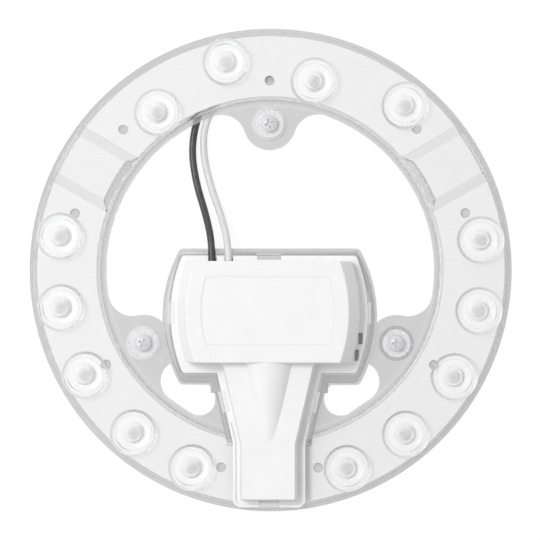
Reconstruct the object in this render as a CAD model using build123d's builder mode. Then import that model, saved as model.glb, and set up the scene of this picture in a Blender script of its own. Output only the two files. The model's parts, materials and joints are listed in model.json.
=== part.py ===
from build123d import *
import os
from math import atan, cos, degrees, hypot, pi, radians, sin, tan

os.makedirs("parts", exist_ok=True)

# Ring LED module for a ceiling lamp. Millimetres, +Z is the way the light goes, and z = 0 is the plane
# of the magnets' faces, which hold the module to a steel lamp base. The driver lies towards -Y.

# Clear moulding: the channel ring that carries the board under its roof
ring_d = 180.0  # over the outer foot
foot_z = 4.0  # the moulding's back plane, one magnet's height off the lamp base
ring_h = 4.4
roof_t = 1.2
seat_gap = 0.05  # between pieces that seat on each other
shoulder_r = 0.8
wall_draft = 0.4
foot_h = 1.2
outer_foot_w = 1.1
inner_foot_w = 1.7
ring_w = 28.8  # from foot to foot
window_d = ring_d - 2 * ring_w

# LED board
board_margin_out = 2.95  # from the feet to the board's edges
board_margin_in = 3.5
board_od = ring_d - 2 * board_margin_out
board_id = window_d + 2 * board_margin_in
board_t = 1.0
board_gap = 0.25  # to the channel's walls
board_lift = 0.5  # the board lies this far inside the back plane
peg_d = 3.4
peg_gap = 0.1
peg_head_d = 5.2
edge_peg_r = ring_d / 2 - 14.2
edge_peg_turn = 13.8  # each side of a bridge
lug_peg_r = ring_d / 2 - 19.4

# LEDs and the lenses over them
led_w = 3.5
led_l = 2.8
led_h = 0.7
led_window_inset = 0.4
led_window_depth = 0.15
led_ring_r = ring_d / 2 - 10.9
led_inset_r = ring_d / 2 - 17.9  # two lenses sit nearer the centre, beside the upper lug
outer_led_angles = (8.1, 50.5, 101.8, 170.8, 190.2, 209.6, 230.1, 248.5, 291.4, 309.7, 330.0, 349.0)
inset_led_angles = (76.7, 125.4)
lens_d = 15.8  # over its rim
lens_draft = 1.0  # its outer wall leans out by this much, down to the roof
lens_rim_w = 1.1
lens_rim_h = 1.3  # over the roof
lens_groove = 0.4
lens_crown_h = 3.1  # over the roof
lens_dimple_d = 6.0
lens_dimple = 0.45
lens_foot_d = 13.2
lens_cavity_d = 6.0  # half a ball, round the LED

# Raised bridges across the ring
bridge_angles = (30.0, 150.0)
bridge_w = 16.2
bridge_foot_w = 25.0
bridge_h = 2.6
bridge_set_in = 2.6  # of the raised roof's inner edge
bridge_set_out = 0.9

# Lugs with their screw wells
lug_angles = (90.0, 210.0, 330.0)
lug_r = window_d / 2 - 6.7
top_lug_d = 19.6
side_lug_d = 21.0
lug_t = 2.0
lug_fillet = 9.0
boss_d = 13.0
boss_h = 1.0
well_d = 10.4
well_floor = 1.5
screw_hole_d = 3.4

# Driver tray, part of the clear moulding
tray_mid_w = 80.0
tray_bow = 6.6  # of each side
tray_end_w = tray_mid_w - 2 * tray_bow
tray_rim_mid = 3.4  # from the tray's edge to the cover's flange
tray_rim_end = 1.2
tray_y_high = 8.0
tray_y_low = -42.8
tray_corner = 2.0
tray_foot = 1.0
tray_floor = 1.2
tray_rise = 2.0  # over the ring's roof
tray_edge = 0.35
tray_neck_wall = 1.9
neck_wall_end_y = -window_d / 2 - 4.0
ear_w = 2.4  # small upright ears in the corners between the tray and the neck walls
ear_l = 3.8
ledge_w = 0.8
post_d = 4.0
post_h = 1.2
post_inset = 9.6  # of the posts from the flange's widest place
post_y_high = 0.0
post_y_low = -33.0
window_end_d = 15.4  # the two windows beside the neck
window_end = (33.2, -41.6)
window_tip_d = 12.3
window_tip = (26.4, -48.2)
slot_w = 16.0  # window in the roof under the neck
slot_y_high = 23.0 - ring_d / 2
slot_y_low = 6.0 - ring_d / 2
clip_l = 8.0
clip_reach = 1.5
clip_h = 1.2
clip_w = 2.6
side_clip_y = -16.0
top_clip_l = 9.0
neck_clip_y = -48.5
latch_w = 6.8
latch_t = 2.3
latch_reach = 0.6
latch_gap = 0.3
clip_gap = 0.1  # over the flange

# White driver cover
cover_gap = 0.3  # in the tray
flange_t = 1.5
flange_mid_w = tray_mid_w - 2 * tray_rim_mid
flange_end_w = tray_end_w - 2 * tray_rim_end
flange_y_high = 5.3
flange_y_low = -38.2
flange_corner = 1.5
box_mid_w = flange_mid_w - 6.0
box_end_w = flange_end_w - 3.4
box_y_high = 3.3
box_y_low = -34.0
box_top_mid_w = box_mid_w - 7.8
box_top_end_w = box_end_w - 8.2
box_bevel_z = 16.5
box_top_z = 24.0
box_corner = 0.8
box_edge = 0.6
cover_wall = 1.6
panel_mid_w = 48.8
panel_end_w = 45.0
panel_y_high = -2.4
panel_y_low = -27.3
panel_depth = 0.2
neck_top_z = 18.0
neck_wide_w = 38.8
neck_narrow_w = 26.8
neck_turn_y = -window_d / 2 - 3.0
neck_end_y = 2.0 - ring_d / 2
neck_corner = 3.0
neck_root_y = -30.0  # inside the box
bead_w = 0.9
bead_h = 1.0
gutter_w = 1.4
neck_slope = 1.35  # how far the raised neck leans in
cone_r = 9.75
cone_sink = 3.75  # of the cone's axis below the neck's top
cone_root_y = -33.0  # inside the box's wall
cone_tip_y = neck_end_y + 5.1
vent_w = 1.6
vent_l = 4.2
vents = ((flange_mid_w / 2 - 2.7, -25.4), (flange_mid_w / 2 - 4.1, -31.6))

# Driver board and what it carries
pcb_t = 1.6
pcb_gap = 0.4
pcb_tongue_w = 20.0
pcb_tongue_y = -59.0
part_gap = 0.05  # under the parts that stand on a board
inside_w = box_mid_w - 2 * cover_wall  # the parts' places across the board are shares of it
leg_l = 0.8
leg_w = 0.8
leg_t = 0.2
cap_edge = 0.6
crimp_depth = 0.5
crimp_z = 2.5  # from the bung's end
fuse_d = 3.6
fuse_l = 9.5
fuse_waist = 0.3
fuse_cap_l = 2.0
fuse_at = (-0.43 * inside_w, -12.0)
varistor_d = 8.0
varistor_t = 3.6
varistor_at = (-0.148 * inside_w, -2.5)
choke_d = 8.0
choke_h = 9.5
choke_lip = 1.2
choke_at = (0.008 * inside_w, -4.6)
rectifier_size = (6.8, 4.7, 2.5)
rectifier_at = (-0.297 * inside_w, -13.0)
input_cap_d = 10.0
input_cap_l = 17.0
input_cap_at = (-0.367 * inside_w, -26.5)  # the bung
core_size = (14.0, 10.0, 11.5)
core_window = (11.2, 7.0)
core_leg_d = 4.8
core_at = (0.086 * inside_w, -19.0)
coil_d = 10.8
coil_gap = 0.2
chip_size = (5.0, 4.0, 1.5)
chip_pitch = 1.27
chip_at = (0.305 * inside_w, -8.0)
diode_d = 3.4
diode_l = 6.5
diode_edge = 0.3
diode_at = (0.281 * inside_w, -27.0)
output_cap_d = 10.0
output_cap_h = 12.0
output_cap_at = (0.367 * inside_w, -19.0)
link_w = 0.64
link_x = 3.5
link_y_from = -56.5
link_y_to = 18.0 - ring_d / 2
link_rise = 2.2
link_bend = 1.0

# Magnets and their screws
magnet_d = 12.0
magnet_wall = 0.9
magnet_roof = 1.2
magnet_boss_d = 4.8
magnet_boss_z = 0.8
magnet_gap = 0.1
screw_d = 3.0
thread_gap = 0.05
screw_head_d = 6.0
screw_head_h = 2.0
thread_chamfer = 0.3
screw_tip_z = 1.0
recess_w = 0.9
recess_l = 3.4
recess_depth = 1.1
screw_turns = (20.0, 65.0, 5.0)

# Mains leads
lead_d = 2.7
lead_gap = 0.1  # over the driver board
lead_notch = 0.3  # round a lead in the walls that it crosses
lead_x = {"black": -21.1, "white": -15.0}
lead_start_y = -3.0
lead_low_z = 1.6
tip_d = 1.2
tip_l = 8.0

# Heights and radii worked out from the sizes above
ring_top = foot_z + ring_h
roof_low = ring_top - roof_t
board_z = foot_z + board_lift
board_top = board_z + board_t
ring_r = ring_d / 2
window_r = window_d / 2
outer_wall_r = ring_r - outer_foot_w
inner_wall_r = window_r + inner_foot_w
channel_out = board_od / 2 + board_gap
channel_in = board_id / 2 - board_gap
plate_r = (inner_wall_r + wall_draft + channel_in) / 2  # the plate ends inside the inner wall
lug_top = foot_z + lug_t
floor_z = foot_z + tray_floor
tray_top = ring_top + tray_rise
flange_z = ring_top + seat_gap
flange_top = flange_z + flange_t
pcb_z = floor_z + post_h + seat_gap
pcb_top = pcb_z + pcb_t
post_x = flange_mid_w / 2 - post_inset
well_z = foot_z + well_floor
magnet_h = foot_z - seat_gap
screw_seat_z = well_z + seat_gap
lead_z = pcb_top + lead_gap + lead_d / 2
pcb_inset = ledge_w - cover_gap + pcb_gap
neck_foot_inset = bead_w + gutter_w
neck_lean = (neck_wide_w - neck_narrow_w) / 2 / (flange_y_low - neck_turn_y)


def polar(radius, angle):
    """Point in plan at a radius and an angle from +X."""
    return (radius * cos(radians(angle)), radius * sin(radians(angle)))


def barrel(z, mid_w, end_w, y_high, y_low, corner):
    """Face with straight ends and two bowed sides."""
    y_mid = (y_high + y_low) / 2
    with BuildSketch(Plane.XY.offset(z)) as face:
        with BuildLine():
            ThreePointArc((end_w / 2, y_low), (mid_w / 2, y_mid), (end_w / 2, y_high))
            Line((end_w / 2, y_high), (-end_w / 2, y_high))
            ThreePointArc((-end_w / 2, y_high), (-mid_w / 2, y_mid), (-end_w / 2, y_low))
            Line((-end_w / 2, y_low), (end_w / 2, y_low))
        make_face()
        if corner > 0:
            fillet(face.vertices(), corner)
    return face.sketch


def neck(z, inset, y_root, y_end, corner):
    """Face of the neck: it tapers from the driver, then runs straight out over the ring."""
    wide = neck_wide_w / 2 - inset + neck_lean * (y_root - flange_y_low)
    narrow = neck_narrow_w / 2 - inset
    with BuildSketch(Plane.XY.offset(z)) as face:
        with BuildLine():
            Polyline(
                (wide, y_root), (narrow, neck_turn_y), (narrow, y_end),
                (-narrow, y_end), (-narrow, neck_turn_y), (-wide, y_root), close=True,
            )
        make_face()
        if corner > 0:
            fillet(face.vertices().sort_by(Axis.Y)[:2], corner)
    return face.sketch


def flange_face(z, grow):
    """Outline of the cover's flange, round the box and out along the neck."""
    with BuildSketch(Plane.XY.offset(z)) as face:
        add(
            barrel(
                0, flange_mid_w + 2 * grow, flange_end_w + 2 * grow,
                flange_y_high + grow, flange_y_low - grow, flange_corner + grow,
            )
        )
        add(neck(0, -grow, flange_y_low + 1, neck_end_y - grow, neck_corner + grow))
    return face.sketch


lugs = [polar(lug_r, angle) for angle in lug_angles]
pegs = [polar(lug_peg_r, angle) for angle in lug_angles] + [
    polar(edge_peg_r, angle + side * edge_peg_turn)
    for angle in (*bridge_angles, 270.0)
    for side in (-1, 1)
]
led_places = sorted(
    [(angle, led_ring_r) for angle in outer_led_angles]
    + [(angle, led_inset_r) for angle in inset_led_angles]
)
leds = [(polar(radius, angle), angle) for angle, radius in led_places]

# One lens: a thick clear puck from the board up through the roof, with a grooved rim and a dimpled crown
lens_foot_z = board_top + seat_gap
rim_z = ring_top + lens_rim_h
crown_z = ring_top + lens_crown_h
dome_z = rim_z - lens_groove
dome_r = lens_d / 2 - lens_rim_w - lens_groove
dimple_r = lens_dimple_d / 2
lens_base_r = lens_d / 2 + lens_draft
ball_z = ((crown_z**2 - dome_z**2) + (dimple_r**2 - dome_r**2)) / (2 * (crown_z - dome_z))
ball_r = hypot(dimple_r, crown_z - ball_z)  # the crown is part of a ball about the lens's axis
with BuildPart() as lens:
    with BuildSketch(Plane.XZ) as lens_half:
        with BuildLine():
            Polyline(
                (0, crown_z - lens_dimple), (0, lens_foot_z), (lens_foot_d / 2, lens_foot_z),
                (lens_foot_d / 2, roof_low + roof_t / 2), (lens_base_r, roof_low + roof_t / 2),
                (lens_base_r, ring_top), (lens_d / 2, rim_z), (lens_d / 2 - lens_rim_w, rim_z),
                (dome_r, dome_z),
            )
            RadiusArc((dome_r, dome_z), (dimple_r, crown_z), -ball_r)
            TangentArc((0, crown_z - lens_dimple), (dimple_r, crown_z), tangent=(1, 0))
        make_face()
    revolve(axis=Axis.Z)

# One peg: it hangs from the roof through the board, and its end is melted over to a flat head
with BuildPart() as peg:
    with BuildSketch(Plane.XZ) as peg_half:
        with BuildLine():
            Polyline(
                (0, foot_z), (peg_head_d / 2, foot_z), (peg_head_d / 2, board_z - seat_gap),
                (peg_d / 2, board_z - seat_gap),
                (peg_d / 2, roof_low + roof_t / 2), (0, roof_low + roof_t / 2), close=True,
            )
        make_face()
    revolve(axis=Axis.Z)


def bridge_face(z, width, r_in, r_out, angle):
    """Piece of the ring across its width, with sides square to the bridge's own radius."""
    with BuildSketch(Plane.XY.offset(z)) as face:
        Circle(r_out)
        Circle(r_in, mode=Mode.SUBTRACT)
        with Locations(Rotation(0, 0, angle)):
            with Locations(((r_in + r_out) / 2, 0)):
                Rectangle(r_out - r_in + lens_d, width, mode=Mode.INTERSECT)
    return face.sketch


with BuildPart() as housing:
    # Channel ring: roof, two drafted walls and the outer wall's foot
    with BuildSketch(Plane.XZ) as section:
        with BuildLine():
            Polyline(
                (ring_r, foot_z), (ring_r, foot_z + foot_h), (outer_wall_r, foot_z + foot_h),
                (outer_wall_r - wall_draft, ring_top), (inner_wall_r + wall_draft, ring_top),
                (inner_wall_r, foot_z), (channel_in, foot_z), (channel_in, roof_low),
                (channel_out, roof_low), (channel_out, foot_z), close=True,
            )
        make_face()
        fillet(section.vertices().sort_by(Axis.Y)[-2:], shoulder_r)
    revolve(axis=Axis.Z)

    # Plate at the back plane: the inner wall's foot, three lugs, the web and the driver tray's floor
    with BuildSketch(Plane.XY.offset(foot_z)) as plate:
        Circle(plate_r)
        with Locations((0, lug_r * sin(radians(lug_angles[1])))):
            Rectangle(2 * ring_r, 2 * ring_r, align=(Align.CENTER, Align.MAX), mode=Mode.INTERSECT)
        with BuildSketch(mode=Mode.ADD) as rim:
            Circle(plate_r)
            Circle(window_r, mode=Mode.SUBTRACT)
        with Locations(lugs[0]):
            Circle(top_lug_d / 2)
        with Locations(lugs[1:]):
            Circle(side_lug_d / 2)
        add(barrel(0, tray_mid_w, tray_end_w, tray_y_high, tray_y_low, tray_corner))
        rim_corners = [v for v in plate.vertices() if abs(hypot(v.X, v.Y) - window_r) < 0.01]
        fillet(rim_corners, lug_fillet)
        Circle(plate_r, mode=Mode.INTERSECT)
        for side in (-1, 1):
            with BuildSketch(mode=Mode.SUBTRACT) as window:
                with Locations((side * window_end[0], window_end[1])):
                    Circle(window_end_d / 2)
                with Locations((side * window_tip[0], window_tip[1])):
                    Circle(window_tip_d / 2)
                make_hull()
                add(
                    barrel(0, tray_mid_w, tray_end_w, tray_y_high, tray_y_low, tray_corner),
                    mode=Mode.SUBTRACT,
                )
    extrude(amount=lug_t)

    # Tray wall, set in from the plate, and the two walls that follow the neck to the ring
    extrude(
        barrel(
            foot_z, tray_mid_w - 2 * tray_foot, tray_end_w - 2 * tray_foot,
            tray_y_high - tray_foot, tray_y_low + tray_foot, tray_corner,
        ),
        amount=tray_top - foot_z,
    )
    with BuildSketch(Plane.XY.offset(foot_z)) as neck_walls:
        add(neck(0, -cover_gap - tray_neck_wall, flange_y_low, neck_wall_end_y, 0))
        Circle(plate_r, mode=Mode.INTERSECT)
    extrude(amount=tray_top - foot_z)
    extrude(
        neck(
            ring_top - roof_t / 2, -cover_gap - tray_neck_wall, flange_y_low, neck_wall_end_y, 0
        ),
        amount=tray_rise + roof_t / 2,
    )

    # Ears in the corners below the tray, on the outside of the neck walls
    ear_x = neck_wide_w / 2 + cover_gap + tray_neck_wall - neck_lean * (flange_y_low - tray_y_low)
    with Locations(*[(side * ear_x, tray_y_low + tray_foot, foot_z) for side in (-1, 1)]):
        Box(ear_w, ear_l, tray_top - foot_z, align=(Align.CENTER, Align.MAX, Align.MIN))

    # Lug bosses
    with Locations(*[(x, y, lug_top) for x, y in lugs]):
        Cylinder(boss_d / 2, boss_h, align=(Align.CENTER, Align.CENTER, Align.MIN))

    # Bridges
    for angle in bridge_angles:
        loft(
            [
                bridge_face(
                    ring_top - roof_t / 2, bridge_foot_w, inner_wall_r + wall_draft + shoulder_r / 2,
                    outer_wall_r - wall_draft - shoulder_r / 2, angle,
                ),
                bridge_face(
                    ring_top + bridge_h, bridge_w, inner_wall_r + wall_draft + bridge_set_in,
                    outer_wall_r - wall_draft - bridge_set_out, angle,
                ),
            ]
        )

    # Pegs that the board hangs on, and the lenses
    with Locations(*[(x, y, 0) for x, y in pegs]):
        add(peg.part)
    with Locations(*[(x, y, 0) for (x, y), angle in leds]):
        add(lens.part)

    # What is taken out of the moulding
    with Locations(*[(x, y, lens_foot_z) for (x, y), angle in leds]):
        Sphere(lens_cavity_d / 2, mode=Mode.SUBTRACT)
    for angle in bridge_angles:
        loft(
            [
                bridge_face(roof_low, bridge_foot_w - roof_t, channel_in, channel_out, angle),
                bridge_face(
                    roof_low + bridge_h, bridge_w - roof_t / 2, channel_in + bridge_set_in,
                    channel_out - bridge_set_out, angle,
                ),
            ],
            mode=Mode.SUBTRACT,
        )
    with Locations(*[(x, y, well_z) for x, y in lugs]):
        Cylinder(well_d / 2, ring_h, align=(Align.CENTER, Align.CENTER, Align.MIN), mode=Mode.SUBTRACT)
    with Locations(*[(x, y, foot_z) for x, y in lugs]):
        Cylinder(
            screw_hole_d / 2, lug_t, align=(Align.CENTER, Align.CENTER, Align.MIN), mode=Mode.SUBTRACT
        )
    extrude(flange_face(ring_top, cover_gap), amount=tray_rise + 1, mode=Mode.SUBTRACT)
    near_top = (tray_top - tray_edge / 2, tray_top + tray_edge / 2)
    wall_tops = housing.faces().filter_by(Axis.Z).filter_by_position(Axis.Z, *near_top)
    chamfer([edge for face in wall_tops for edge in face.edges()], tray_edge)
    with BuildSketch(Plane.XY.offset(floor_z)) as pocket:
        add(flange_face(0, cover_gap - ledge_w))
        Circle(window_r, mode=Mode.INTERSECT)
    extrude(amount=ring_top - floor_z, mode=Mode.SUBTRACT)
    with Locations((0, (slot_y_high + slot_y_low) / 2, roof_low)):
        Box(
            slot_w, slot_y_high - slot_y_low, roof_t,
            align=(Align.CENTER, Align.CENTER, Align.MIN), mode=Mode.SUBTRACT,
        )
    for x in lead_x.values():
        with Locations((x, tray_y_high, lead_z)):
            Box(
                lead_d + 2 * lead_notch, 4 * ledge_w + 2 * (tray_y_high - flange_y_high), 2 * lead_d,
                align=(Align.CENTER, Align.CENTER, Align.MIN), mode=Mode.SUBTRACT,
            )
        with Locations(Location((x, tray_y_high, lead_z), (90, 0, 0))):
            Cylinder(
                lead_d / 2 + lead_notch, 4 * ledge_w + 2 * (tray_y_high - flange_y_high),
                mode=Mode.SUBTRACT,
            )

    # Posts under the driver board
    with Locations(*[(x, y, floor_z) for x in (-post_x, post_x) for y in (post_y_high, post_y_low)]):
        Cylinder(post_d / 2, post_h, align=(Align.CENTER, Align.CENTER, Align.MIN))

    # Clips that hold the cover's flange down, and the latch at the neck's end
    clip_z = flange_top + clip_gap
    for side in (-1, 1):
        with Locations((side * (flange_mid_w / 2 - clip_reach), side_clip_y, clip_z)):
            Box(
                clip_w, clip_l, clip_h,
                align=(Align.MIN if side > 0 else Align.MAX, Align.CENTER, Align.MIN),
            )
        neck_x = neck_wide_w / 2 - neck_lean * (flange_y_low - neck_clip_y) - clip_reach
        with Locations(
            Location((side * neck_x, neck_clip_y, clip_z), (0, 0, -side * degrees(atan(neck_lean))))
        ):
            Box(
                clip_w, clip_l, clip_h,
                align=(Align.MIN if side > 0 else Align.MAX, Align.CENTER, Align.MIN),
            )
    with Locations((0, flange_y_high - clip_reach, clip_z)):
        Box(top_clip_l, clip_w, clip_h, align=(Align.CENTER, Align.MIN, Align.MIN))
    with Locations((0, neck_end_y, ring_top - roof_t / 2)):
        Box(
            latch_w, latch_t, clip_z + clip_h - ring_top + roof_t / 2,
            align=(Align.CENTER, Align.MIN, Align.MIN),
        )
    with Locations((0, neck_end_y + latch_t / 2, clip_z)):
        Box(latch_w, latch_t / 2 + latch_reach, clip_h, align=(Align.CENTER, Align.MIN, Align.MIN))

housing.part.label = "lens_housing"
export_step(housing.part, "parts/lens_housing.step")

# LED board: an aluminium ring with a hole for each peg
with BuildPart() as led_board:
    with BuildSketch(Plane.XY.offset(board_z)):
        Circle(board_od / 2)
        Circle(board_id / 2, mode=Mode.SUBTRACT)
        with Locations(*pegs):
            Circle(peg_d / 2 + peg_gap, mode=Mode.SUBTRACT)
    extrude(amount=board_t)
led_board.part.label = "led_board"
export_step(led_board.part, "parts/led_board.step")

# LED packages, one under each lens
for number, ((x, y), angle) in enumerate(leds, start=1):
    seat = Plane(origin=(x, y, board_top), x_dir=(*polar(1, angle), 0), z_dir=(0, 0, 1))
    with BuildPart(seat) as led:
        Box(led_w, led_l, led_h, align=(Align.CENTER, Align.CENTER, Align.MIN))
        chamfer(led.edges().group_by(Axis.Z)[-1], led_h / 5)
        with Locations((0, 0, led_h)):
            Box(
                led_w - 2 * led_window_inset, led_l - 2 * led_window_inset, 2 * led_window_depth,
                mode=Mode.SUBTRACT,
            )
    led.part.label = f"led_{number:02d}"
    export_step(led.part, f"parts/led_{number:02d}.step")


def box_foot(z, inset):
    """Plan of the cover's box where its walls stand straight."""
    return barrel(
        z, box_mid_w - 2 * inset, box_end_w - 2 * inset, box_y_high - inset, box_y_low + inset, box_corner
    )


def box_head(z, inset):
    """Plan of the cover's box at its top, inside the two bevels."""
    return barrel(
        z, box_top_mid_w - 2 * inset, box_top_end_w - 2 * inset,
        box_y_high - inset, box_y_low + inset, box_corner,
    )


def raised_neck(z, inset, y_root):
    """Plan of the raised part of the neck, inside the gutter."""
    return neck(z, inset, y_root, neck_end_y + inset, box_corner)


def half_cone(inset, y_root):
    """Upper half of the cone that lies sunk in the neck, pointing along -Y, or of one inside it."""
    slope = cone_r / (cone_root_y - cone_tip_y)
    with BuildPart() as cone:
        with BuildSketch(Plane.XY.offset(neck_top_z - cone_sink)):
            with BuildLine():
                Polyline(
                    (0, y_root), (slope * (y_root - cone_tip_y) - inset, y_root),
                    (0, cone_tip_y + inset / slope), close=True,
                )
            make_face()
        revolve(axis=Axis((0, 0, neck_top_z - cone_sink), (0, -1, 0)), revolution_arc=180)
    return cone.part


# Driver cover: a bevelled box and a neck on one flange, moulded in one piece and hollow below
with BuildPart() as cover:
    extrude(box_foot(flange_z, 0), amount=box_bevel_z - flange_z)
    loft([box_foot(box_bevel_z, 0), box_head(box_top_z, 0)])
    fillet(cover.faces().sort_by(Axis.Z)[-1].edges(), box_edge)
    extrude(flange_face(flange_z, 0), amount=flange_t)
    loft(
        [
            raised_neck(flange_z, neck_foot_inset, neck_root_y),
            raised_neck(neck_top_z, neck_foot_inset + neck_slope, neck_root_y),
        ]
    )
    add(half_cone(0, cone_root_y))

    # Bead along the neck's edge
    with BuildSketch(Plane.XY.offset(flange_top)):
        add(neck(0, 0, neck_clip_y - clip_l, neck_end_y, neck_corner))
        add(
            neck(0, bead_w, neck_clip_y - clip_l, neck_end_y + bead_w, neck_corner - bead_w),
            mode=Mode.SUBTRACT,
        )
    extrude(amount=bead_h)

    # Hollow inside
    extrude(
        box_foot(flange_z, cover_wall), amount=box_bevel_z - flange_z, mode=Mode.SUBTRACT
    )
    loft(
        [box_foot(box_bevel_z, cover_wall), box_head(box_top_z - cover_wall, cover_wall)],
        mode=Mode.SUBTRACT,
    )
    loft(
        [
            raised_neck(flange_z, neck_foot_inset + cover_wall, neck_root_y),
            raised_neck(
                neck_top_z - cover_wall, neck_foot_inset + neck_slope + cover_wall, neck_root_y
            ),
        ],
        mode=Mode.SUBTRACT,
    )
    add(half_cone(cover_wall, cone_root_y + cover_wall), mode=Mode.SUBTRACT)

    # Label panel, lead exits, vents and the latch's notch
    extrude(
        barrel(box_top_z, panel_mid_w, panel_end_w, panel_y_high, panel_y_low, box_corner),
        amount=-panel_depth, mode=Mode.SUBTRACT,
    )
    for x in lead_x.values():
        with Locations((x, box_y_high - 2 * cover_wall, flange_z)):
            Box(
                lead_d + 2 * lead_notch, 2 * cover_wall + flange_y_high, lead_z - flange_z,
                align=(Align.CENTER, Align.MIN, Align.MIN), mode=Mode.SUBTRACT,
            )
        with Locations(Location((x, box_y_high, lead_z), (90, 0, 0))):
            Cylinder(lead_d / 2 + lead_notch, 4 * cover_wall, mode=Mode.SUBTRACT)
    with Locations(*[(x, y, flange_z) for x, y in vents]):
        Box(
            vent_w, vent_l, flange_t, align=(Align.CENTER, Align.CENTER, Align.MIN), mode=Mode.SUBTRACT
        )
    with Locations((0, neck_end_y, flange_z)):
        Box(
            latch_w + 2 * latch_gap, 2 * (latch_t + latch_gap), flange_t,
            align=(Align.CENTER, Align.CENTER, Align.MIN), mode=Mode.SUBTRACT,
        )
    with Locations((0, neck_end_y, flange_top)):
        Box(
            latch_w + 2 * latch_gap, 2 * (latch_t + latch_reach + latch_gap), neck_top_z - flange_top,
            align=(Align.CENTER, Align.CENTER, Align.MIN), mode=Mode.SUBTRACT,
        )
cover.part.label = "driver_cover"
export_step(cover.part, "parts/driver_cover.step")

# Driver board, a T whose tongue reaches along the neck
with BuildPart() as pcb:
    with BuildSketch(Plane.XY.offset(pcb_z)) as pcb_face:
        add(
            barrel(
                0, flange_mid_w - 2 * pcb_inset, flange_end_w - 2 * pcb_inset,
                flange_y_high - pcb_inset, flange_y_low + pcb_inset, flange_corner,
            )
        )
        with Locations((0, flange_y_low + flange_t)):
            Rectangle(
                pcb_tongue_w, flange_y_low + flange_t - pcb_tongue_y, align=(Align.CENTER, Align.MAX)
            )
        fillet(pcb_face.vertices().sort_by(Axis.Y)[:2], flange_corner)
    extrude(amount=pcb_t)
pcb.part.label = "driver_board"
export_step(pcb.part, "parts/driver_board.step")


def standing(at):
    """Plane on the driver board for a part that stands on it."""
    return Plane.XY.offset(pcb_top + part_gap).move(Location((*at, 0)))


def lying(at, radius, along):
    """Plane square to the axis of a round part that lies on the driver board."""
    x_dir = (0, 0, 1)
    return Plane(origin=(*at, pcb_top + part_gap + radius), x_dir=x_dir, z_dir=along)


# Fuse resistor: a coated body with its two end caps standing proud
with BuildPart(lying(fuse_at, fuse_d / 2, (0, 1, 0))) as fuse:
    Cylinder(fuse_d / 2 - fuse_waist, fuse_l)
    with Locations((0, 0, (fuse_l - fuse_cap_l) / 2), (0, 0, -(fuse_l - fuse_cap_l) / 2)):
        Cylinder(fuse_d / 2, fuse_cap_l)
    chamfer(fuse.edges().filter_by(GeomType.CIRCLE).group_by(Axis.Y)[0], fuse_waist)
    chamfer(fuse.edges().filter_by(GeomType.CIRCLE).group_by(Axis.Y)[-1], fuse_waist)
fuse.part.label = "fuse_resistor"
export_step(fuse.part, "parts/fuse_resistor.step")

# Varistor: a dipped disc on edge
with BuildPart(lying(varistor_at, varistor_d / 2, (0, 1, 0))) as varistor:
    Cylinder(varistor_d / 2, varistor_t)
    chamfer(varistor.edges().filter_by(GeomType.CIRCLE), varistor_t / 4)
varistor.part.label = "varistor"
export_step(varistor.part, "parts/varistor.step")

# Input choke: a ferrite drum with its winding
with BuildPart(standing(choke_at)) as choke:
    Cylinder(choke_d / 2 - choke_lip, choke_h, align=(Align.CENTER, Align.CENTER, Align.MIN))
    with Locations((0, 0, 0), (0, 0, choke_h - choke_lip)):
        Cylinder(choke_d / 2, choke_lip, align=(Align.CENTER, Align.CENTER, Align.MIN))
choke.part.label = "input_choke"
export_step(choke.part, "parts/input_choke.step")

# Bridge rectifier: a moulded body on four bent legs
with BuildPart(standing(rectifier_at)) as rectifier:
    body_l, body_w, body_h = rectifier_size
    with Locations((0, 0, leg_t)):
        Box(body_l - 2 * leg_l, body_w, body_h, align=(Align.CENTER, Align.CENTER, Align.MIN))
    chamfer(rectifier.edges().group_by(Axis.Z)[-1], leg_t)
    for side in (-1, 1):
        with Locations(*[(side * (body_l / 2 - leg_l), y, 0) for y in (-body_w / 4, body_w / 4)]):
            Box(2 * leg_l, leg_w, leg_t, align=(Align.CENTER, Align.CENTER, Align.MIN))
rectifier.part.label = "bridge_rectifier"
export_step(rectifier.part, "parts/bridge_rectifier.step")



def can(diameter, length):
    """Capacitor can standing on its bung, with the crimp round it."""
    with BuildPart() as tin:
        with BuildSketch(Plane.XZ):
            with BuildLine():
                Polyline(
                    (0, 0), (diameter / 2 - cap_edge, 0), (diameter / 2, cap_edge),
                    (diameter / 2, crimp_z - crimp_depth), (diameter / 2 - crimp_depth, crimp_z),
                    (diameter / 2, crimp_z + crimp_depth), (diameter / 2, length - cap_edge),
                    (diameter / 2 - cap_edge, length), (0, length), close=True,
                )
            make_face()
        revolve(axis=Axis.Z)
    return tin.part


# Input capacitor, lying down
with BuildPart(lying(input_cap_at, input_cap_d / 2, (1, 0, 0))) as input_cap:
    add(can(input_cap_d, input_cap_l))
input_cap.part.label = "input_capacitor"
export_step(input_cap.part, "parts/input_capacitor.step")

# Transformer: two E cores closed round a wound bobbin
core_w, core_depth, core_h = core_size
window_w, window_h = core_window
with BuildPart(standing(core_at)) as core:
    Box(core_w, core_depth, core_h, align=(Align.CENTER, Align.CENTER, Align.MIN))
    with Locations((0, 0, core_h / 2)):
        Box(window_w, core_depth, window_h, mode=Mode.SUBTRACT)
        Cylinder(core_leg_d / 2, window_h)
core.part.label = "transformer_core"
export_step(core.part, "parts/transformer_core.step")

with BuildPart(standing(core_at)) as coil:
    with Locations((0, 0, core_h / 2)):
        Cylinder(coil_d / 2, window_h - 2 * coil_gap)
        Cylinder(core_leg_d / 2 + coil_gap, window_h, mode=Mode.SUBTRACT)
coil.part.label = "transformer_coil"
export_step(coil.part, "parts/transformer_coil.step")

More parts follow.
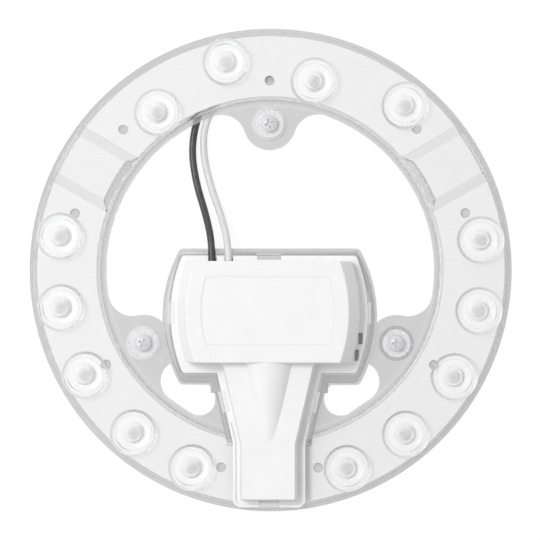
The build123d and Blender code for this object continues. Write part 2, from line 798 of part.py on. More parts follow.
# Control chip in a small-outline package
with BuildPart(standing(chip_at)) as chip:
    chip_l, chip_w, chip_h = chip_size
    with Locations((0, 0, leg_t)):
        Box(chip_l, chip_w, chip_h - leg_t, align=(Align.CENTER, Align.CENTER, Align.MIN))
    chamfer(chip.edges().group_by(Axis.Z)[-1], leg_t)
    for side in (-1, 1):
        with Locations(
            *[(chip_pitch * (n - 1.5), side * (chip_w / 2 + leg_l / 2), 0) for n in range(4)]
        ):
            Box(leg_w / 2, 2 * leg_l, leg_t, align=(Align.CENTER, Align.CENTER, Align.MIN))
chip.part.label = "driver_chip"
export_step(chip.part, "parts/driver_chip.step")

# Output diode, lying down
with BuildPart(lying(diode_at, diode_d / 2, (1, 0, 0))) as diode:
    Cylinder(diode_d / 2, diode_l)
    chamfer(diode.edges().filter_by(GeomType.CIRCLE), diode_edge)
diode.part.label = "output_diode"
export_step(diode.part, "parts/output_diode.step")

# Output capacitor, standing
with BuildPart(standing(output_cap_at)) as output_cap:
    add(can(output_cap_d, output_cap_h))
output_cap.part.label = "output_capacitor"
export_step(output_cap.part, "parts/output_capacitor.step")

# Two square pins from the tongue of the driver board over the ring's wall to the LED board
with BuildPart() as links:
    for x in (-link_x, link_x):
        with BuildLine() as link_path:
            FilletPolyline(
                (x, link_y_from, pcb_top), (x, link_y_from, pcb_top + link_rise),
                (x, link_y_to, pcb_top + link_rise), (x, link_y_to, board_top), radius=link_bend,
            )
        with BuildSketch(Plane(origin=link_path.line @ 0, z_dir=link_path.line % 0)):
            Rectangle(link_w, link_w)
        sweep(path=link_path.line)
links.part.label = "output_links"
export_step(links.part, "parts/output_links.step")

# Pot magnets under the lugs: a steel cup with a threaded boss, and the magnet ring inside it
for place, (x, y) in zip(("top", "left", "right"), lugs):
    with BuildPart(Plane.XY.move(Location((x, y, 0)))) as cup:
        Cylinder(magnet_d / 2, magnet_h, align=(Align.CENTER, Align.CENTER, Align.MIN))
        chamfer(cup.edges().group_by(Axis.Z)[-1], magnet_wall / 2)
        Cylinder(
            magnet_d / 2 - magnet_wall, magnet_h - magnet_roof,
            align=(Align.CENTER, Align.CENTER, Align.MIN), mode=Mode.SUBTRACT,
        )
        with Locations((0, 0, magnet_boss_z)):
            Cylinder(
                magnet_boss_d / 2, magnet_h - magnet_roof - magnet_boss_z,
                align=(Align.CENTER, Align.CENTER, Align.MIN),
            )
        Cylinder(
            screw_d / 2 + thread_gap, magnet_h, align=(Align.CENTER, Align.CENTER, Align.MIN),
            mode=Mode.SUBTRACT,
        )
    cup.part.label = f"magnet_cup_{place}"
    export_step(cup.part, f"parts/magnet_cup_{place}.step")
    with BuildPart(Plane.XY.move(Location((x, y, 0)))) as magnet:
        Cylinder(
            magnet_d / 2 - magnet_wall - magnet_gap, magnet_h - magnet_roof - seat_gap,
            align=(Align.CENTER, Align.CENTER, Align.MIN),
        )
        Cylinder(
            magnet_boss_d / 2 + magnet_gap, magnet_h, align=(Align.CENTER, Align.CENTER, Align.MIN),
            mode=Mode.SUBTRACT,
        )
    magnet.part.label = f"magnet_{place}"
    export_step(magnet.part, f"parts/magnet_{place}.step")

# Cross-recessed pan-head screws
with BuildPart() as screw:
    with BuildSketch(Plane.XZ):
        with BuildLine():
            Line((0, screw_tip_z), (screw_d / 2 - thread_chamfer, screw_tip_z))
            Line((screw_d / 2 - thread_chamfer, screw_tip_z), (screw_d / 2, screw_tip_z + thread_chamfer))
            Polyline(
                (screw_d / 2, screw_tip_z + thread_chamfer), (screw_d / 2, screw_seat_z),
                (screw_head_d / 2, screw_seat_z), (screw_head_d / 2, screw_seat_z + screw_head_h / 2),
            )
            TangentArc(
                (0, screw_seat_z + screw_head_h), (screw_head_d / 2, screw_seat_z + screw_head_h / 2),
                tangent=(1, 0),
            )
            Line((0, screw_seat_z + screw_head_h), (0, screw_tip_z))
        make_face()
    revolve(axis=Axis.Z)
    with Locations((0, 0, screw_seat_z + screw_head_h)):
        Box(recess_l, recess_w, 2 * recess_depth, mode=Mode.SUBTRACT)
        Box(recess_w, recess_l, 2 * recess_depth, mode=Mode.SUBTRACT)
with BuildPart() as magnet_screws:
    with Locations(*[Location((x, y, 0), (0, 0, turn)) for (x, y), turn in zip(lugs, screw_turns)]):
        add(screw.part)
magnet_screws.part.label = "magnet_screws"
export_step(magnet_screws.part, "parts/magnet_screws.step")

# Mains leads: from the driver board over the tray's wall, down, and on under the ring
lead_routes = {
    "black": [
        (lead_x["black"], lead_start_y, lead_z), (lead_x["black"], 9.0, lead_z), (-23.6, 20.0, 5.6),
        (-27.6, 32.0, 2.3), (-29.6, 45.0, lead_low_z), (-27.4, 57.5, lead_low_z),
        (-21.0, 68.5, lead_low_z), (-9.5, 75.8, lead_low_z), (4.5, 77.6, lead_low_z),
        (18.5, 75.0, lead_low_z), (31.5, 69.4, lead_low_z), (42.5, 62.4, lead_low_z),
    ],
    "white": [
        (lead_x["white"], lead_start_y, lead_z), (lead_x["white"], 8.6, lead_z), (-17.8, 19.4, 5.4),
        (-22.2, 31.0, 2.2), (-25.2, 43.6, lead_low_z), (-24.6, 55.2, lead_low_z),
        (-18.4, 65.2, lead_low_z), (-7.4, 71.0, lead_low_z), (6.2, 72.2, lead_low_z),
        (19.4, 69.8, lead_low_z), (31.6, 64.2, lead_low_z), (41.6, 56.8, lead_low_z),
    ],
}


def corner_radii(points):
    """As large an arc at each corner as the two runs beside it allow."""
    stops = [Vector(*point) for point in points]
    radii = []
    for before, here, after in zip(stops, stops[1:], stops[2:]):
        turn = (here - before).get_angle(after - here)
        shorter = min((here - before).length, (after - here).length)
        radii.append(0.45 * shorter / tan(radians(turn) / 2))
    return radii


tip_solids = []
for colour, route in lead_routes.items():
    radii = corner_radii(route)
    with BuildPart() as lead:
        with BuildLine() as path:
            FilletPolyline(*route, radius=radii)
        with BuildSketch(Plane(origin=path.line @ 0, z_dir=path.line % 0)):
            Circle(lead_d / 2)
        sweep(path=path.line)
    lead.part.label = f"lead_{colour}"
    export_step(lead.part, f"parts/lead_{colour}.step")
    with BuildPart() as tip:
        with BuildSketch(Plane(origin=path.line @ 1, z_dir=path.line % 1)):
            Circle(tip_d / 2)
        extrude(amount=tip_l)
    tip_solids.append(tip.part)
    length = sum(edge.length for edge in path.edges())
    tube = pi * lead_d**2 / 4 * length
    print(
        f"lead_{colour} length {length:.1f} volume over section times length "
        f"{lead.part.volume / tube:.4f} radii", [round(r, 1) for r in radii],
    )
with BuildPart() as lead_tips:
    for solid in tip_solids:
        add(solid)
lead_tips.part.label = "lead_tips"
export_step(lead_tips.part, "parts/lead_tips.step")
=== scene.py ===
import json
import math

import bpy
from mathutils import Matrix, Vector


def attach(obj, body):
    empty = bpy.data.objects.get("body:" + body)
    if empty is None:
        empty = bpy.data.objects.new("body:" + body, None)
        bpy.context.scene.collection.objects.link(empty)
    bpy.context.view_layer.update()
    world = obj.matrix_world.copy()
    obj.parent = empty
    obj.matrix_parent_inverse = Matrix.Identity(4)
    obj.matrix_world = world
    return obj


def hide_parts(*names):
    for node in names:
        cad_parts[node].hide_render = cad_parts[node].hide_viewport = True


# Ring LED module, lying on its magnets: a square-on view in soft light from the upper left. Metres.

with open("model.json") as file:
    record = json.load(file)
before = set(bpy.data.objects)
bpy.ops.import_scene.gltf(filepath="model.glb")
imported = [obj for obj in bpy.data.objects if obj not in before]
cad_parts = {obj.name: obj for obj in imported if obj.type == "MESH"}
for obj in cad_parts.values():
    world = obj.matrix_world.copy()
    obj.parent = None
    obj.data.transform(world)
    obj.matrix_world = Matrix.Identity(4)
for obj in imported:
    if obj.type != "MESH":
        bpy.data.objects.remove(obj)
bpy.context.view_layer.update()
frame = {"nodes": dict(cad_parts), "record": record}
nodes = frame["nodes"]


# Camera, square on, a little to the right of the ring's axis
def look_from(place, target, up):
    """The matrix of a camera or lamp."""
    back = (place - target).normalized()
    right = up.cross(back).normalized()
    turn = Matrix((right, back.cross(right), back)).transposed().to_4x4()
    return Matrix.Translation(place) @ turn


camera_far = 0.9
camera_turn = math.radians(2.4)
camera = bpy.data.objects.new("camera", bpy.data.cameras.new("camera"))
bpy.context.scene.collection.objects.link(camera)
camera.matrix_world = look_from(
    Vector((camera_far * math.sin(camera_turn), 0, camera_far * math.cos(camera_turn))),
    Vector((0, 0, 0.0052)),
    Vector((0, 1, 0)),
)
camera.data.sensor_width = 36
camera.data.lens = 159.9
camera.data.shift_x = 0.0006
camera.data.clip_start = 0.01
camera.data.clip_end = 50
bpy.context.scene.camera = camera

# Mains leads: over the tray's wall, down, and on under the ring
lead_d = 0.0027
lead_routes = {
    "black": [
        (-0.0211, -0.003, 0.0095), (-0.0211, 0.009, 0.0095), (-0.0236, 0.020, 0.0056),
        (-0.0276, 0.032, 0.0023), (-0.0296, 0.045, 0.0016), (-0.0274, 0.0575, 0.0016),
        (-0.0210, 0.0685, 0.0016), (-0.0095, 0.0758, 0.0016), (0.0045, 0.0776, 0.0016),
        (0.0185, 0.0750, 0.0016), (0.0315, 0.0694, 0.0016), (0.0425, 0.0624, 0.0016),
    ],
    "white": [
        (-0.0150, -0.003, 0.0095), (-0.0150, 0.0086, 0.0095), (-0.0178, 0.0194, 0.0054),
        (-0.0222, 0.0310, 0.0022), (-0.0252, 0.0436, 0.0016), (-0.0246, 0.0552, 0.0016),
        (-0.0184, 0.0652, 0.0016), (-0.0074, 0.0710, 0.0016), (0.0062, 0.0722, 0.0016),
        (0.0194, 0.0698, 0.0016), (0.0316, 0.0642, 0.0016), (0.0416, 0.0568, 0.0016),
    ],
}
leads = {}
for colour, route in lead_routes.items():
    curve = bpy.data.curves.new(f"lead_{colour}_skin", "CURVE")
    curve.dimensions = "3D"
    curve.bevel_depth = 1
    curve.bevel_resolution = 6
    curve.resolution_u = 8
    curve.use_fill_caps = True
    spline = curve.splines.new("NURBS")
    spline.points.add(len(route) - 1)
    for point, place in zip(spline.points, route):
        point.co = (*place, 1)
        point.radius = lead_d / 2
    spline.order_u = 3
    spline.use_endpoint_u = True
    lead = bpy.data.objects.new(f"lead_{colour}_skin", curve)
    bpy.context.scene.collection.objects.link(lead)
    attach(lead, "root")
    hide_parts(f"lead_{colour}")
    leads[colour] = lead


# Nodes: what goes into a socket is another node's output, or a constant set on the socket itself
def added(tree, kind, **settings):
    made = tree.nodes.new(kind)
    for name, value in settings.items():
        setattr(made, name, value)
    return made


def feed(tree, socket, value):
    if isinstance(value, bpy.types.NodeSocket):
        tree.links.new(value, socket)
    else:
        socket.default_value = value


def number(tree, operation, *values):
    made = added(tree, "ShaderNodeMath", operation=operation)
    for socket, value in zip(made.inputs, values):
        feed(tree, socket, value)
    return made.outputs["Value"]


def vector(tree, operation, *values):
    made = added(tree, "ShaderNodeVectorMath", operation=operation)
    for socket, value in zip(made.inputs, values):
        feed(tree, socket, value)
    return made.outputs["Value" if operation in ("DISTANCE", "DOT_PRODUCT", "LENGTH") else "Vector"]


def blend(tree, factor, first, second, kind="RGBA"):
    """The first value where the factor is 0, the second where it is 1."""
    made = added(tree, "ShaderNodeMix", data_type=kind)
    for socket, value in zip(("Factor", "A", "B"), (factor, first, second)):
        feed(tree, made.inputs[socket], value)
    return made.outputs["Result"]


def surface(tree, factor, first, second, output):
    """A surface that is one shader where the factor is 0, and another where it is 1."""
    both = added(tree, "ShaderNodeMixShader")
    tree.links.new(factor, both.inputs["Fac"])
    tree.links.new(first.outputs[0], both.inputs[1])
    tree.links.new(second.outputs[0], both.inputs[2])
    tree.links.new(both.outputs[0], output.inputs["Surface"])


def ramp(tree, factor, *stops):
    """Colours at places from 0 to 1, each stop as (place, colour)."""
    made = added(tree, "ShaderNodeValToRGB")
    elements = made.color_ramp.elements
    while len(elements) < len(stops):
        elements.new(0.5)
    for element, (place, colour) in zip(elements, stops):
        element.position = place
        element.color = (*colour, 1)
    tree.links.new(factor, made.inputs["Fac"])
    return made.outputs["Color"]


def spread(tree, factor, low, high, from_low=0.3, from_high=0.7):
    """A value that goes from low to high while the factor goes from one limit to the other."""
    made = added(tree, "ShaderNodeMapRange")
    for socket, value in zip(("From Min", "From Max", "To Min", "To Max"), (from_low, from_high, low, high)):
        made.inputs[socket].default_value = value
    tree.links.new(factor, made.inputs["Value"])
    return made.outputs["Result"]


def greys(tree, value, low, high, stops):
    """Greys while a value goes from low to high, each stop as (value, grey)."""
    at = spread(tree, value, 0, 1, low, high)
    return ramp(tree, at, *(((end - low) / (high - low), (grey, grey, grey)) for end, grey in stops))


def position(tree):
    """Place in the object's own coordinates, which all the materials are worked out from."""
    return added(tree, "ShaderNodeTexCoord").outputs["Object"]


def plan(tree, shift=(0, 0, 0)):
    """Place as seen from above, with a shift."""
    return vector(tree, "MULTIPLY_ADD", position(tree), (1, 1, 0), shift)


def noise(tree, size, detail=3.0, stretch=(1, 1, 1)):
    """Noise whose patches are about size metres across."""
    scaled = added(tree, "ShaderNodeMapping")
    scaled.inputs["Scale"].default_value = stretch
    tree.links.new(position(tree), scaled.inputs["Vector"])
    made = added(tree, "ShaderNodeTexNoise")
    made.inputs["Scale"].default_value = 1 / size
    made.inputs["Detail"].default_value = detail
    tree.links.new(scaled.outputs["Vector"], made.inputs["Vector"])
    return made.outputs["Fac"]


def bump(tree, shader, height, depth, flat=False):
    """Unevenness; flat takes the faces as they are, without their smoothed normals."""
    made = added(tree, "ShaderNodeBump")
    if flat:
        facet = added(tree, "ShaderNodeNewGeometry").outputs["True Normal"]
        tree.links.new(facet, made.inputs["Normal"])
    made.inputs["Strength"].default_value = 1
    made.inputs["Distance"].default_value = depth
    tree.links.new(height, made.inputs["Height"])
    tree.links.new(made.outputs["Normal"], shader.inputs["Normal"])


# Opaque materials
def material(name, colour, **values):
    made = bpy.data.materials.new(name)
    made.use_nodes = True
    shader = made.node_tree.nodes["Principled BSDF"]
    shader.inputs["Base Color"].default_value = (*colour, 1)
    for socket, value in values.items():
        shader.inputs[socket.replace("_", " ")].default_value = value
    return made, made.node_tree, shader


def moulded(name, dark, light, rough, **values):
    """Plastic or coating with slightly uneven colour and gloss and a fine grain."""
    made, tree, shader = material(name, light, **values)
    cloudy = noise(tree, 0.012)
    tree.links.new(ramp(tree, cloudy, (0.35, dark), (0.65, light)), shader.inputs["Base Color"])
    tree.links.new(spread(tree, cloudy, rough - 0.04, rough + 0.04), shader.inputs["Roughness"])
    bump(tree, shader, noise(tree, 0.0004), 0.00002)
    return made


def metal(name, dark, light, rough, stretch=(1, 1, 1), share=1.0):
    """Metal, or with a share below 1 a dull plating over it."""
    made, tree, shader = material(name, light, Metallic=share)
    streaks = noise(tree, 0.0008, 4.0, stretch)
    tree.links.new(ramp(tree, streaks, (0.3, dark), (0.7, light)), shader.inputs["Base Color"])
    tree.links.new(spread(tree, streaks, rough - 0.06, rough + 0.06), shader.inputs["Roughness"])
    bump(tree, shader, streaks, 0.00001)
    return made


def insulation(name, dark, light, rough):
    made, tree, shader = material(name, light)
    tree.links.new(ramp(tree, noise(tree, 0.004), (0.35, dark), (0.65, light)), shader.inputs["Base Color"])
    tree.links.new(spread(tree, noise(tree, 0.002), rough - 0.05, rough + 0.05), shader.inputs["Roughness"])
    bump(tree, shader, noise(tree, 0.0012), 0.00004)
    return made


lacquer_low_z, lacquer_high_z = 0.00465, 0.0047


def lacquered_board():
    """White lacquer on the front and edges, bare aluminium on the back."""
    made, tree, shader = material("board", (0.93, 0.93, 0.93), Roughness=0.35)
    height = added(tree, "ShaderNodeSeparateXYZ")
    tree.links.new(position(tree), height.inputs["Vector"])
    front = spread(tree, height.outputs["Z"], 0, 1, lacquer_low_z, lacquer_high_z)
    brushed = noise(tree, 0.0012, 4.0, (1, 0.03, 1))
    bare = ramp(tree, brushed, (0.3, (0.62, 0.62, 0.63)), (0.7, (0.78, 0.78, 0.79)))
    lacquer = ramp(tree, noise(tree, 0.006), (0.35, (0.925, 0.925, 0.925)), (0.65, (0.94, 0.94, 0.94)))
    tree.links.new(blend(tree, front, bare, lacquer), shader.inputs["Base Color"])
    tree.links.new(spread(tree, front, 1, 0, 0, 1), shader.inputs["Metallic"])
    bump(tree, shader, noise(tree, 0.0009), 0.000012)
    return made


# Outline of the cover's sunk panel: straight ends and bowed sides
panel_middle_y = -0.01485
panel_half_h = 0.01245
panel_half_w = 0.0244
panel_end_half_w = 0.0225
panel_bow = panel_half_w - panel_end_half_w
panel_side_r = (panel_half_h**2 + panel_bow**2) / (2 * panel_bow)
# Painted shade along the panel's edge: full within the first distance of the edge, faded out by the second
panel_shade_core, panel_shade_end = 0.0001, 0.0003


def cover_plastic():
    """White plastic, with a thin line of painted shade in the corner along the panel's edge."""
    made = moulded("white_plastic", (0.84, 0.84, 0.84), (0.86, 0.86, 0.86), 0.6, Specular_IOR_Level=0.3)
    tree = made.node_tree
    colour = tree.nodes["Principled BSDF"].inputs["Base Color"]
    quarter = vector(tree, "ABSOLUTE", plan(tree, (0, -panel_middle_y, 0)))
    side_middle = (panel_half_w - panel_side_r, 0, 0)
    past_side = number(tree, "SUBTRACT", vector(tree, "DISTANCE", quarter, side_middle), panel_side_r)
    height = added(tree, "ShaderNodeSeparateXYZ")
    tree.links.new(quarter, height.inputs["Vector"])
    past_end = number(tree, "SUBTRACT", height.outputs["Y"], panel_half_h)
    from_edge = number(tree, "ABSOLUTE", number(tree, "MAXIMUM", past_side, past_end))
    away = spread(tree, from_edge, 0, 1, panel_shade_core, panel_shade_end)
    # Painted shade: 0.785 grey at the panel's edge, blending into the plastic's own colour
    tree.links.new(blend(tree, away, (0.785, 0.785, 0.785, 1), colour.links[0].from_socket), colour)
    return made


# Clear plastic of the moulding, tinted by where a face lies
def middle(name):
    places = [vertex.co for vertex in nodes[name].data.vertices]
    return [(max(p[axis] for p in places) + min(p[axis] for p in places)) / 2 for axis in (0, 1)]


led_names = [name for name in nodes if name.startswith("led_") and name != "led_board"]
led_spots = [middle(name) for name in led_names]
lug_spots = [middle(name) for name in nodes if name.startswith("magnet_cup_")]
light_side = Vector((-0.9, 0.43, 0)).normalized()


def by_radius(tree, *stops):
    """Greys by the distance from the ring's axis, each stop as (metres, grey)."""
    return greys(tree, vector(tree, "LENGTH", plan(tree)), 0.058, 0.092, stops)


def across(tree, *stops):
    """Greys from the upper left to the lower right, each stop as (metres from the middle, grey)."""
    return greys(tree, vector(tree, "DOT_PRODUCT", position(tree), (0.9, -0.43, 0)), -0.1, 0.1, stops)


def nearest_of(tree, spots, off=0.0):
    """Distance from the nearest of some points, all moved by off metres away from the light."""
    place = plan(tree)
    far = [vector(tree, "DISTANCE", place, Vector((a, b, 0)) - off * light_side) for a, b in spots]
    nearest = far[0]
    for other in far[1:]:
        nearest = number(tree, "MINIMUM", nearest, other)
    return nearest


def by_lens(tree, off, *stops):
    """Greys by the distance from the nearest lens's middle, each stop as (metres, grey)."""
    return greys(tree, nearest_of(tree, led_spots, off), 0.006, 0.011, stops)


def side_painted_shade(tree):
    """Clear on the lens's rim, with a crescent of painted shade on its side that faces the light."""
    return by_lens(
        tree, 0.0009, (0.0076, 1.0), (0.0082, 0.84), (0.0087, 0.68), (0.0091, 0.68), (0.0098, 0.86),
    )


def side_clarity(tree):
    """Clear where the lens's side faces the light, and a little hazy on the other side."""
    return by_lens(tree, -0.0009, (0.0082, 0.95), (0.0092, 0.85))


def roof_tint(tree):
    """Darker where no board lies below, and at the foot of the window's edge."""
    return by_radius(
        tree, (0.0605, 0.63), (0.0613, 0.69), (0.0629, 0.57), (0.0642, 0.64), (0.0649, 0.88),
        (0.0870, 0.88), (0.0875, 0.6),
    )


def roof_clarity(tree):
    """Clear over the board, and a little hazy past its edges."""
    return by_radius(tree, (0.0642, 0.82), (0.0649, 1.0), (0.0870, 1.0), (0.0875, 0.86))


def around_wells(tree, outside, inside):
    """Greys of the lugs, changed just round the wells."""
    past_well = spread(tree, nearest_of(tree, lug_spots), 0, 1, 0.0059, 0.0062)
    return blend(tree, past_well, (inside, inside, inside, 1), outside(tree))


# The rim's own grey tint, with painted shade making it darker towards the lower right, away from the light
def rim_tint_and_painted_shade(tree):
    return across(tree, (-0.09, 0.58), (-0.036, 0.63), (0.09, 0.56))


# Painted shade: the window's inner edge is clear at the upper left and darker towards the lower right
def inner_tint_and_painted_shade(tree):
    return across(tree, (-0.03, 0.94), (0.03, 0.86))


# Painted shade: the tray's walls are pale towards the upper left and dark on the sides away from the light
def wall_tint_and_painted_shade(tree):
    return across(tree, (-0.03, 0.8), (-0.01, 0.38), (0.008, 0.48), (0.03, 0.38))


def lug_tint(tree):
    return around_wells(tree, roof_tint, 0.97)


def lug_clarity(tree):
    return around_wells(tree, roof_clarity, 0.45)


def clear(name, tint, clarity=1.0, rough=0.05, waves=0.00006, flat=False, passed=1.0, ior=1.58):
    """Clear plastic: tint and clarity are values, or functions that put one together in the tree."""
    made, tree, shader = material(f"clear_{name}", (1, 1, 1), IOR=ior, Roughness=rough)
    feed(tree, shader.inputs["Base Color"], tint(tree) if callable(tint) else (tint, tint, tint, 1))
    feed(tree, shader.inputs["Transmission Weight"], clarity(tree) if callable(clarity) else clarity)
    bump(tree, shader, noise(tree, 0.009, 2.0), waves, flat=flat)
    # Light that falls on the board and the cover goes straight through
    rays = added(tree, "ShaderNodeLightPath").outputs
    straight = number(tree, "MAXIMUM", rays["Is Shadow Ray"], rays["Is Diffuse Ray"])
    through = added(tree, "ShaderNodeBsdfTransparent")
    through.inputs["Color"].default_value = (passed, passed, passed, 1)
    surface(tree, straight, shader, through, tree.nodes["Material Output"])
    return made


clear_kinds = {
    "roof": clear("plastic", roof_tint, roof_clarity),
    "flat": clear("flat", roof_tint, roof_clarity, flat=True),
    "inner": clear("inner", inner_tint_and_painted_shade, rough=0.2),
    "rim": clear("rim", rim_tint_and_painted_shade, 0.86),
    "groove": clear("groove", 0.97, 0.7, rough=0.3),
    "peg": clear("peg", 0.6, 0.4),
    "edge": clear("edge", 0.62, 0.8),
    # Painted shade: a darker copy of the edge for its faces turned away from the light
    "edge_painted_shade": clear("edge_painted_shade", 0.36, 0.8),
    "lens": clear("lens", 0.98, rough=0.12, waves=0.00003),
    "shoulder": clear("shoulder", 0.97, rough=0.3, waves=0.00003),
    "cavity": clear("cavity", 0.96, rough=0.6),
    "cavity_lit": clear("cavity_lit", 0.98, 0.5, rough=0.6),
    "dimple": clear("dimple", 0.94, rough=0.42),
    "foot": clear("foot", 1.0, ior=1.0),
    "well": clear("well", 0.86, 0.65, rough=0.2, flat=True),
    "well_side": clear("well_side", 0.9, 0.5, rough=0.2),
    "lug": clear("lug", lug_tint, lug_clarity, rough=0.3, flat=True),
    "clip": clear("clip", 0.93, 0.9),
    "wall": clear("wall", wall_tint_and_painted_shade, 0.8),
    "bridge": clear("bridge", 0.87),
    "ramp": clear("ramp", 0.73),
    "bridge_wall": clear("bridge_wall", 0.6, 0.6, rough=0.4),
}
# The sides of the lenses that face away from the light shade the board
for kind, passed in (("side", 1.0), ("side_half", 0.7), ("side_shaded", 0.45)):
    clear_kinds[kind] = clear(kind, side_painted_shade, side_clarity, rough=0.2, waves=0.00002, passed=passed)

# The record's materials
looks = {
    "clear_plastic": clear_kinds["roof"],
    "board": lacquered_board(),
    "led": moulded("led", (0.86, 0.86, 0.85), (0.92, 0.92, 0.91), 0.35),
    "white_plastic": cover_plastic(),
    "circuit_board": moulded("circuit_board", (0.40, 0.43, 0.40), (0.46, 0.49, 0.46), 0.3),
    "brown_coat": moulded("brown_coat", (0.12, 0.035, 0.012), (0.2, 0.06, 0.02), 0.35),
    "blue_coat": moulded("blue_coat", (0.01, 0.06, 0.22), (0.015, 0.09, 0.3), 0.3),
    "ferrite": moulded("ferrite", (0.014, 0.014, 0.016), (0.03, 0.03, 0.032), 0.55),
    "winding": moulded("winding", (0.6, 0.36, 0.02), (0.75, 0.48, 0.04), 0.35),
    "black_body": moulded("black_body", (0.006, 0.006, 0.007), (0.012, 0.012, 0.013), 0.5),
    "capacitor_sleeve": moulded("capacitor_sleeve", (0.006, 0.006, 0.009), (0.012, 0.012, 0.016), 0.3),
    "tinned_wire": metal("tinned_wire", (0.55, 0.55, 0.54), (0.72, 0.72, 0.7), 0.35, (1, 0.2, 1)),
    "plated_steel": metal("plated_steel", (0.80, 0.80, 0.81), (0.88, 0.88, 0.89), 0.45, share=0.6),
    "magnet": metal("magnet", (0.16, 0.16, 0.17), (0.24, 0.24, 0.25), 0.45),
    "screw": metal("screw", (0.67, 0.67, 0.68), (0.76, 0.76, 0.77), 0.55, share=0.25),
    "black_lead": insulation("black_lead", (0.05, 0.05, 0.052), (0.07, 0.07, 0.072), 0.28),
    "white_lead": insulation("white_lead", (0.66, 0.66, 0.66), (0.70, 0.70, 0.70), 0.3),
}
for part in frame["record"]["subparts"]:
    skin = nodes[part["node"]].data
    skin.materials.clear()
    skin.materials.append(looks[part["material_slot"]])
for colour, lead in leads.items():
    lead.data.materials.append(looks[f"{colour}_lead"])

# The phosphor fills the window of each LED
phosphor = moulded("phosphor", (0.42, 0.42, 0.40), (0.55, 0.55, 0.52), 0.3)
window_depth = 0.0001
for name in led_names:
    skin = nodes[name].data
    skin.materials.append(phosphor)
    top = max(vertex.co.z for vertex in skin.vertices)
    for face in skin.polygons:
        if face.normal.z > 0.9 and face.center.z < top - window_depth:
            face.material_index = 1

# The moulding's features: radii of a lens, from its middle
dimple_r = 0.00305
cavity_r = 0.0031
cavity_core_r = 0.0022
shoulder_r = 0.0049
lens_r = 0.0063
foot_r = 0.0067
groove_r = 0.0068
lens_side_r = 0.0090
# Radii of a well, from its middle
well_floor_r = 0.0053
well_r = 0.0060
# Radii from the ring's axis
window_r = 0.0625
inner_low_r, inner_high_r = 0.0628, 0.0643
bridge_low_r, bridge_high_r = 0.0630, 0.0885
inner_foot_r = 0.0646
peg_low_r, peg_high_r = 0.0652, 0.0869
rim_low_r = 0.0878
# Heights
peg_head_z = 0.00515
foot_low_z, foot_high_z = 0.0055, 0.0072
well_floor_z = 0.0065
lug_z = 0.0066
lens_low_z = 0.00845
bridge_low_z = cavity_high_z = 0.0086
clip_low_z = 0.00995
tray_edge_z = 0.01002
clip_high_z = 0.01045
# Clip at the tray's top end
top_clip_y = 0.0058
top_clip_half_l = 0.0046


def lens_kind(away, lit, facing):
    """Kind of a face on a lens, away from its middle, lit from 1 towards the light to -1."""
    if away > groove_r:
        return "side" if facing.z > 0.9 or lit > 0 else "side_shaded" if lit < -0.6 else "side_half"
    if away > lens_r:
        return "groove"
    return "dimple" if away < dimple_r else "shoulder" if away < shoulder_r else "lens"


def kind_of(place, facing):
    """Which kind of clear surface a face of the moulding is."""
    x, y, z = place
    ring = math.hypot(x, y)
    lens, a, b = min((math.hypot(x - a, y - b), a, b) for a, b in led_spots)
    lug = min(math.hypot(x - a, y - b) for a, b in lug_spots)
    lit = Vector((x - a, y - b, 0)).normalized().dot(light_side)
    # Painted light: on the side towards the light, the cavity's outer ring takes a paler, hazier copy
    if lens < cavity_r and foot_low_z < z < cavity_high_z:
        return "cavity_lit" if lens > cavity_core_r and lit > -0.3 else "cavity"
    if lens < lens_side_r and z > lens_low_z:
        return lens_kind(lens, lit, facing)
    if lens < foot_r and foot_low_z < z < foot_high_z:
        return "foot" if abs(facing.z) < 0.3 else "lens"
    if lug < well_r and z < lug_z and abs(facing.z) < 0.9:
        return "well_side"
    if lug < well_floor_r and z < well_floor_z:
        return "well"
    if ring < window_r and z < lug_z:
        return "lug"
    if ring > rim_low_r:
        return "rim"
    if inner_low_r < ring < inner_high_r and abs(facing.z) < 0.97:
        return "inner"
    if inner_high_r < ring < inner_foot_r and z < foot_high_z:
        return "inner"
    if bridge_low_r < ring < bridge_high_r and z > bridge_low_z and y > 0:
        return "bridge_wall" if 0 < facing.z < 0.72 else "ramp" if 0 < facing.z < 0.9 else "bridge"
    if z > clip_high_z or z > clip_low_z and facing.z < -0.5:
        if y > 0:
            return "edge" if y < top_clip_y and abs(x) < top_clip_half_l else "wall"
        return "clip"
    # Painted shade: edge faces turned right or down, away from the light, take the darker copy
    if z > tray_edge_z and facing.z < 0.9:
        return "edge_painted_shade" if facing.x > 0.1 or facing.y < -0.1 else "edge"
    if peg_low_r < ring < peg_high_r and z < peg_head_z:
        return "peg"
    if ring < window_r and z > lug_z:
        return "wall"
    return "flat" if abs(facing.z) > 0.999 else "roof"


housing = nodes["lens_housing"].data
kinds = list(clear_kinds)
housing.materials.clear()
for kind in kinds:
    housing.materials.append(clear_kinds[kind])
for face in housing.polygons:
    face.material_index = kinds.index(kind_of(face.center, face.normal))

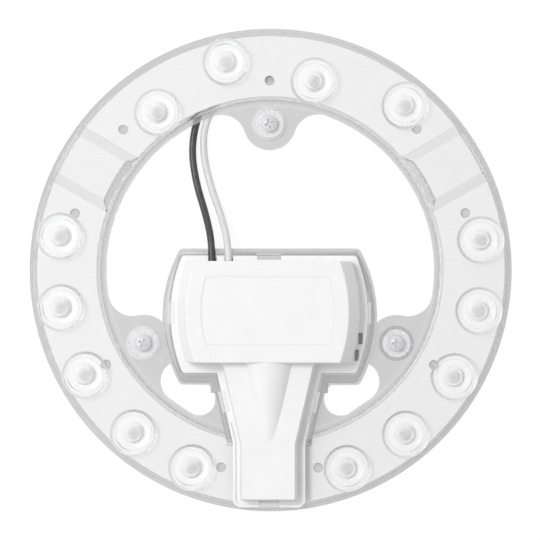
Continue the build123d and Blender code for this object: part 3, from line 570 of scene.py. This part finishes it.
# Floor: white to the eye, also in mirrors and through clear plastic, with a faint shadow
floor_z = -0.0003
floor_glow_share = 0.86
bpy.ops.mesh.primitive_plane_add(size=6, location=(0, 0, floor_z))
floor = bpy.context.object
floor.name = "floor"
ground = bpy.data.materials.new("floor")
ground.use_nodes = True
tree = ground.node_tree
tree.nodes.clear()
rays = added(tree, "ShaderNodeLightPath").outputs
seen = number(tree, "MAXIMUM", rays["Is Camera Ray"], rays["Is Glossy Ray"])
seen = number(tree, "MAXIMUM", seen, rays["Is Transmission Ray"])
matt = added(tree, "ShaderNodeBsdfDiffuse")
matt.inputs["Color"].default_value = (0.92, 0.92, 0.92, 1)
glow = added(tree, "ShaderNodeEmission")
glow.inputs["Color"].default_value = (1, 1, 1, 1)
glow.inputs["Strength"].default_value = 1.04
share = number(tree, "MULTIPLY", seen, floor_glow_share)
surface(tree, share, matt, glow, added(tree, "ShaderNodeOutputMaterial"))
floor.data.materials.append(ground)

# Room: white behind the object, bright at the upper left, with a soft box that only gloss shows
bright_side = Vector((-0.55, 0.35, 0.75)).normalized()
box_side = Vector((-0.5, 0.12, 0.86)).normalized()
box_edge, box_inside = 0.95, 0.97
box_strength = 4.0
world = bpy.data.worlds.new("room")
bpy.context.scene.world = world
world.use_nodes = True
tree = world.node_tree
tree.nodes.clear()
rays = added(tree, "ShaderNodeLightPath").outputs
way = added(tree, "ShaderNodeTexCoord").outputs["Generated"]
sky = spread(tree, vector(tree, "DOT_PRODUCT", way, bright_side), 0.48, 0.86, -0.2, 1.0)
soft_box = spread(tree, vector(tree, "DOT_PRODUCT", way, box_side), 0, box_strength, box_edge, box_inside)
mirrored = number(tree, "MULTIPLY_ADD", soft_box, rays["Is Glossy Ray"], sky)
backdrop = added(tree, "ShaderNodeBackground")
backdrop.inputs["Color"].default_value = (1, 1, 1, 1)
level = blend(tree, rays["Is Camera Ray"], mirrored, 1.0, kind="FLOAT")
tree.links.new(level, backdrop.inputs["Strength"])
out = added(tree, "ShaderNodeOutputWorld")
tree.links.new(backdrop.outputs[0], out.inputs["Surface"])

# One large soft lamp at the upper left, kept out of gloss and clear plastic
lamp = bpy.data.objects.new("soft_lamp", bpy.data.lights.new("soft_lamp", "AREA"))
bpy.context.scene.collection.objects.link(lamp)
lamp.visible_glossy = False
lamp.visible_transmission = False
lamp.data.shape = "DISK"
lamp.data.size = 0.36
lamp.data.energy = 5.3
lamp.matrix_world = look_from(Vector((-0.37, 0.24, 1.05)), Vector((0, 0, 0)), Vector((0, 1, 0)))

bpy.context.scene.view_settings.view_transform = "Standard"

bpy.context.view_layer.update()
